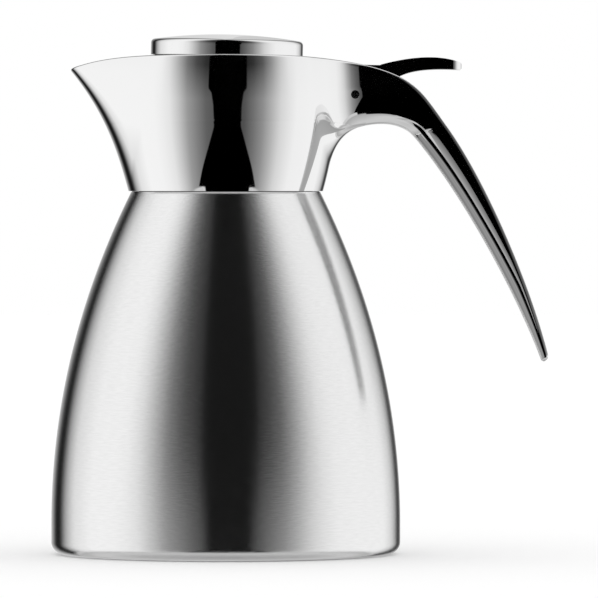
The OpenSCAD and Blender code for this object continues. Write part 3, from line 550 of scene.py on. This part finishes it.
def handle_sections(rows, margin):
    """Closed outlines across the handle: a half section, made to meet the ears, and its mirror image."""
    z, y = handle_sides(rows, margin)
    y = y + root_gap * np.maximum(1 - to_knee[rows] / 0.3, 0) ** 2
    up = (back[rows] - belly[rows]) / thick[rows, None]
    flat = np.linspace(1, -1, 8)[1:-1]
    y = np.hstack([y, y[:, -1:] * flat, -y[:, ::-1], -y[:, :1] * flat])
    z = np.hstack([z, z[:, -1:] + 0 * flat, z[:, ::-1], z[:, :1] + 0 * flat])
    return np.stack([belly[rows, 0:1] + up[:, 0:1] * z, y, belly[rows, 1:2] + up[:, 1:2] * z], 2)


ahead = back[-1] + belly[-1] - back[-2] - belly[-2]
ahead /= np.linalg.norm(ahead)
turn = np.radians(np.linspace(0, 90, 10))[1:]
tip = [handle_sections(slice(-1, None), 0.4 * tip_t * (1 - np.cos(t)))[0]
       + np.array((ahead[0], 0, ahead[1])) * tip_t / 2 * np.sin(t) for t in turn]
handle_grid = np.concatenate([handle_sections(slice(None), 0), np.stack(tip)])
handle = surface("handle_polished", handle_grid, caps=(0, -1))
cut(handle, channel, sharp_past=11)
handle.data.materials.append(plate)
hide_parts("handle")
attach(handle, "carafe")
bpy.data.objects.remove(channel)
bpy.data.objects.remove(bore)

# Thumb lever: pressed from thick strip, bent over the pin and mirror plated. Its arm runs through the channel
# between the ears and carries the lid; its free end lies over the handle, where the thumb presses it.
lever_end_r, lever_edge_w, bush_room_r = 0.004, 0.0004, 0.0027
plan_x, plan_y = -0.02, 0.01
hub = np.array([(pin_x + 0.45 * hub_d, pin_z + 0.22 * hub_d), (pin_x, pin_z)])
outline = np.vstack([[(arm_end_x, arm_bottom), (arm_end_x, arm_top)], over, crown, nose, under[::-1], hub,
                     arm_under[::-1]])
lever = across("lever_polished", outline, lever_half_w)
hub_bar = pin_bore(hub_d / 2, lever_half_w)
hub_bar.name = "hub"
end_x = crown[-1, 0] + 0.0005 - lever_end_r
plan = np.vstack([[(plan_x, -plan_y), (end_x, -plan_y)],
                  arc((end_x, -lever_half_w + lever_end_r), lever_end_r, -90, 0, 24),
                  arc((end_x, lever_half_w - lever_end_r), lever_end_r, 0, 90, 24),
                  [(end_x, plan_y), (plan_x, plan_y)]])
plan_bar = surface("plan", np.stack([np.insert(plan, 2, z, axis=1) for z in (0.17, 0.21)]), caps=(0, -1))
lever_bore = pin_bore(bush_room_r, past_sides)
cut(lever, plan_bar, operation="INTERSECT")
cut(lever, hub_bar, operation="UNION")
cut(lever, lever_bore, sharp_past=30)
for tool in (hub_bar, plan_bar, lever_bore):
    bpy.data.objects.remove(tool)
softened = lever.modifiers.new("edges", "BEVEL")
softened.width, softened.segments = lever_edge_w, 3
softened.limit_method, softened.angle_limit = "ANGLE", np.radians(40)
softened.harden_normals = True
lever.data.materials.append(plate)
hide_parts("thumb_lever")
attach(lever, "lid")

# Lid cap: a drawn and polished disc with a slightly domed top and an upright edge, pressed over the carrier.
# It leans a little towards the handle.
cap_r, cap_h, cap_crown, cap_edge_r, cap_t = 0.0304, 0.0064, 0.0022, 0.0016, 0.0008
cap_x, cap_lean_deg = 0.0005, 1.2
rim_z = seam_z + rim_crown_h


def cap_profile(margin):
    """Half outline of the cap from its apex: a wide arc, a narrow one and the skirt, inset by a margin."""
    edge_x = cap_r - cap_edge_r
    dome_r = (edge_x ** 2 + cap_crown ** 2) / (2 * cap_crown)
    dome_a = np.arcsin(edge_x / dome_r)
    a = np.linspace(0.02, 1, 40) * dome_a
    dome = np.stack([(dome_r - margin) * np.sin(a), cap_h + cap_crown - dome_r + (dome_r - margin) * np.cos(a)], 1)
    edge = arc((edge_x, cap_h - cap_edge_r), cap_edge_r - margin, 90 - np.degrees(dome_a), 0, 12)[1:]
    skirt = np.stack([np.full(8, cap_r - margin), np.linspace(cap_h - cap_edge_r, 0, 9)[1:]], 1)
    return np.vstack([dome, edge, skirt])


cap_grid = spun(np.vstack([cap_profile(0), cap_profile(cap_t)[::-1]])[::-1], 256)
lean = np.radians(cap_lean_deg)
about = cap_grid - (0, 0, cap_h / 2)
cap_grid = np.stack([about[..., 0] * np.cos(lean) + about[..., 2] * np.sin(lean) + cap_x, about[..., 1],
                     about[..., 2] * np.cos(lean) - about[..., 0] * np.sin(lean) + rim_z + cap_h / 2], 2)
cap = surface("cap_polished", cap_grid, caps=(0, -1))
cap.data.materials.append(plate)
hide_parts("lid_cap")
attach(cap, "lid")


def black_moulding():
    """Satin black plastic with the fine grain of an eroded mould in bump and roughness."""
    material, tree, shader = finish("black_moulding", Base_Color=(0.022, 0.022, 0.023, 1), Roughness=0.42,
                                    Specular_IOR_Level=0.45)
    clouded(tree, shader, 60.0, 3.0, 0.36, 0.5)
    grain = noise(tree, wire(tree, "ShaderNodeTexCoord").outputs["Object"], 2600.0, 2.0)
    bumped(tree, shader, grain, 0.25, 0.00003)
    return material


def dress(material, *names):
    """Gives the CAD nodes of these names one material in place of their own."""
    for name in names:
        nodes[name].data.materials.clear()
        nodes[name].data.materials.append(material)


dress(black_moulding(), "pouring_insert", "lid_carrier", "stopper_body", "stopper_bottom", "neck_ring",
      "base_cover")


# Rings: the foot is a black rubber ring glued into the base cover. The gasket and the stopper's seal are
# pale silicone, which shows only when the lid is up.
def soft_ring(name, colour, roughness):
    """Rubber, silicone and the like: dull, with a fine bloom in its roughness and a soft skin."""
    material, tree, shader = finish(name, Base_Color=colour, Roughness=roughness, Specular_IOR_Level=0.35)
    bloom = clouded(tree, shader, 400.0, 3.0, roughness - 0.08, roughness + 0.08)
    bumped(tree, shader, bloom, 0.2, 0.00004)
    return material


dress(soft_ring("black_rubber", (0.02, 0.02, 0.02, 1), 0.7), "foot_ring")
dress(soft_ring("pale_silicone", (0.62, 0.62, 0.60, 1), 0.5), "neck_gasket", "stopper_seal")


# Inner steel: the flask and the vacuum base are plain drawn steel, seen only through the open mouth. The pin
# and the lid screws are ground steel, the bushes pale acetal, the getter sintered metal and the filling foam.
def plain_metal(name, colour, roughness, scale):
    """Bare metal as it leaves the press or the grinder, with a cloudy roughness."""
    material, tree, shader = finish(name, Base_Color=colour, Metallic=1.0, Roughness=roughness)
    clouded(tree, shader, scale, 4.0, roughness - 0.06, roughness + 0.06)
    return material


dress(plain_metal("drawn_steel", (0.68, 0.68, 0.69, 1), 0.28, 120.0), "inner_vessel", "vacuum_base")
dress(plain_metal("ground_steel", (0.42, 0.42, 0.43, 1), 0.22, 300.0), "hinge_pin", "lid_screws")
dress(plain_metal("sintered_metal", (0.2, 0.2, 0.2, 1), 0.6, 900.0), "getter")
dress(soft_ring("pale_acetal", (0.75, 0.73, 0.66, 1), 0.4), "hinge_bushes")
dress(soft_ring("stopper_foam", (0.72, 0.68, 0.5, 1), 0.85), "stopper_insulation")

# Studio: a plain white floor, which reflections don't see, and a white surround with soft, even light. Metal
# reflects a room of its own: pale walls, a dark middle behind the camera that shows as the black band, two
# narrow black flags beside the backdrop that draw the edges, and the pale table.
floor_half_w, floor_lift = 6, 0.12
floor_mesh = bpy.data.meshes.new("studio_floor")
floor_mesh.from_pydata([(x * floor_half_w, y * floor_half_w, 0) for x, y in ((-1, -1), (1, -1), (1, 1), (-1, 1))],
                       [], [(0, 1, 2, 3)])
floor = bpy.data.objects.new("studio_floor", floor_mesh)
bpy.context.scene.collection.objects.link(floor)
floor.visible_glossy = False
floor_paint, tree, shader = finish("floor_paint", Base_Color=(0.9, 0.9, 0.9, 1), Roughness=1.0,
                                   Specular_IOR_Level=0.0, Emission_Color=(1, 1, 1, 1))
ray = wire(tree, "ShaderNodeLightPath")
lift = reckoned(tree, "MULTIPLY", ray.outputs["Is Camera Ray"], floor_lift)
tree.links.new(lift, shader.inputs["Emission Strength"])
floor_mesh.materials.append(floor_paint)

world = bpy.data.worlds.new("studio")
bpy.context.scene.world = world
world.use_nodes = True
tree = world.node_tree
background = tree.nodes["Background"]
background.inputs["Color"].default_value = (1, 1, 1, 1)
way = wire(tree, "ShaderNodeTexCoord")
part = wire(tree, "ShaderNodeSeparateXYZ", i0=way.outputs["Generated"])
front = reckoned(tree, "MULTIPLY", part.outputs[1], -1.0)
azimuth = reckoned(tree, "DEGREES", reckoned(tree, "ARCTAN2", part.outputs[0], front))
height = reckoned(tree, "DEGREES", reckoned(tree, "ARCSINE", part.outputs[2]))


def ramped(factor, stops, low, high, unit):
    """A ramp through (place, value) stops: the places run from low to high and the values are parts of the unit."""
    node = wire(tree, "ShaderNodeValToRGB", Fac=factor)
    elements = node.color_ramp.elements
    while len(elements) < len(stops):
        elements.new(0.5)
    for element, (place, value) in zip(elements, stops):
        element.position = (place - low) / (high - low)
        element.color = (value / unit, value / unit, value / unit, 1)
    return node.outputs[0]


def mixed(share, first, second):
    """The first value where the share is 0 and the second where it is 1."""
    return wire(tree, "ShaderNodeMix", {"data_type": "FLOAT"}, i0=share, i2=first, i3=second).outputs[0]


# The walls' brightness by azimuth, 0 towards the camera and 90 towards the handle, low down and high up.
turned = ranged(tree, azimuth, -180.0, 180.0, 0.0, 1.0)
low_walls = ramped(turned, [
    (-180, 0.80), (-170, 0.55), (-160, 0.26), (-154, 0.06), (-150, 0.01), (-143, 0.01), (-139, 0.07), (-130, 0.47),
    (-120, 0.80), (-100, 0.97), (-80, 0.96), (-70, 0.91), (-60, 0.83), (-50, 0.60), (-40, 0.345), (-30, 0.225),
    (-20, 0.125), (0, 0.06), (20, 0.085), (30, 0.175), (40, 0.29), (50, 0.48), (60, 0.70), (70, 0.82), (80, 0.92),
    (100, 0.94), (130, 0.94), (142, 0.72), (150, 0.42), (156, 0.08), (164, 0.03), (174, 0.50)], -180, 180, 1)
high_walls = ramped(turned, [
    (-180, 0.75), (-170, 0.32), (-160, 0.20), (-152, 0.07), (-147, 0.012), (-143, 0.012), (-139, 0.09),
    (-130, 0.44), (-120, 0.74), (-100, 0.93), (-80, 0.95), (-70, 0.92), (-60, 0.75), (-50, 0.45), (-40, 0.18),
    (-30, 0.07), (-20, 0.03), (0, 0.008), (20, 0.010), (30, 0.035), (40, 0.10), (50, 0.30), (60, 0.59),
    (70, 0.81), (80, 0.89), (100, 0.92), (128, 0.86), (142, 0.58), (150, 0.30), (156, 0.09), (163, 0.10),
    (174, 0.62)], -180, 180, 1)
walls = mixed(ranged(tree, height, -2.0, 9.0, 0.0, 1.0), low_walls, high_walls)

# The dark middle: dark is half its width by height, as a share of 60 degrees, and its centre moves a little
# towards the handle higher up.
middle = ranged(tree, height, 0.0, 40.0, 2.4, 5.0)
off_size = reckoned(tree, "ABSOLUTE", reckoned(tree, "SUBTRACT", azimuth, middle))
half_band_deg = 60
dark = ramped(ranged(tree, height, -90.0, 90.0, 0.0, 1.0), [
    (-32, 27), (-29.3, 28), (-28.9, 35.5), (-27, 33), (-24, 29.3), (-20.7, 25), (-17.5, 21), (-14, 17.2),
    (-11, 14.2), (-4, 14.8), (0, 16.6), (1.5, 19.8), (11, 19.6), (40, 20.5)], -90, 90, half_band_deg)
past = reckoned(tree, "MULTIPLY_ADD", dark, -half_band_deg, off_size)
lit = ranged(tree, past, -0.5, 0.5, 0.0, 1.0)
room = reckoned(tree, "MULTIPLY", walls, lit)

# The table: its edge is pale on both sides of the dark middle, and below that it darkens downwards.
far_edge = reckoned(tree, "MULTIPLY", ranged(tree, height, -29.1, -29.4, 0.0, 1.0), lit)
room = mixed(far_edge, room, 0.62)
table = ramped(ranged(tree, height, -90.0, 0.0, 0.0, 1.0), [
    (-90, 0.34), (-60, 0.45), (-46, 0.60), (-42, 0.62), (-37, 0.50), (-32, 0.40), (-31, 0.40)], -90, 0, 1)
room = mixed(ranged(tree, height, -32.0, -32.8, 0.0, 1.0), room, table)
ray = wire(tree, "ShaderNodeLightPath")
tree.links.new(mixed(ray.outputs["Is Glossy Ray"], 1.0, room), background.inputs["Strength"])

# Camera: a long lens about three metres away, at the height of the seam between body and collar, tilted down
# by less than a degree.
camera_data = bpy.data.cameras.new("camera")
camera = bpy.data.objects.new("camera", camera_data)
bpy.context.scene.collection.objects.link(camera)
camera_data.lens = 462
camera_data.sensor_width = 36
camera_data.clip_end = 20
camera.location = (0.0293, -3.07, 0.145)
camera.rotation_euler = (np.radians(90 - 0.8), 0, 0)
bpy.context.scene.camera = camera
bpy.context.scene.view_settings.view_transform = "Standard"
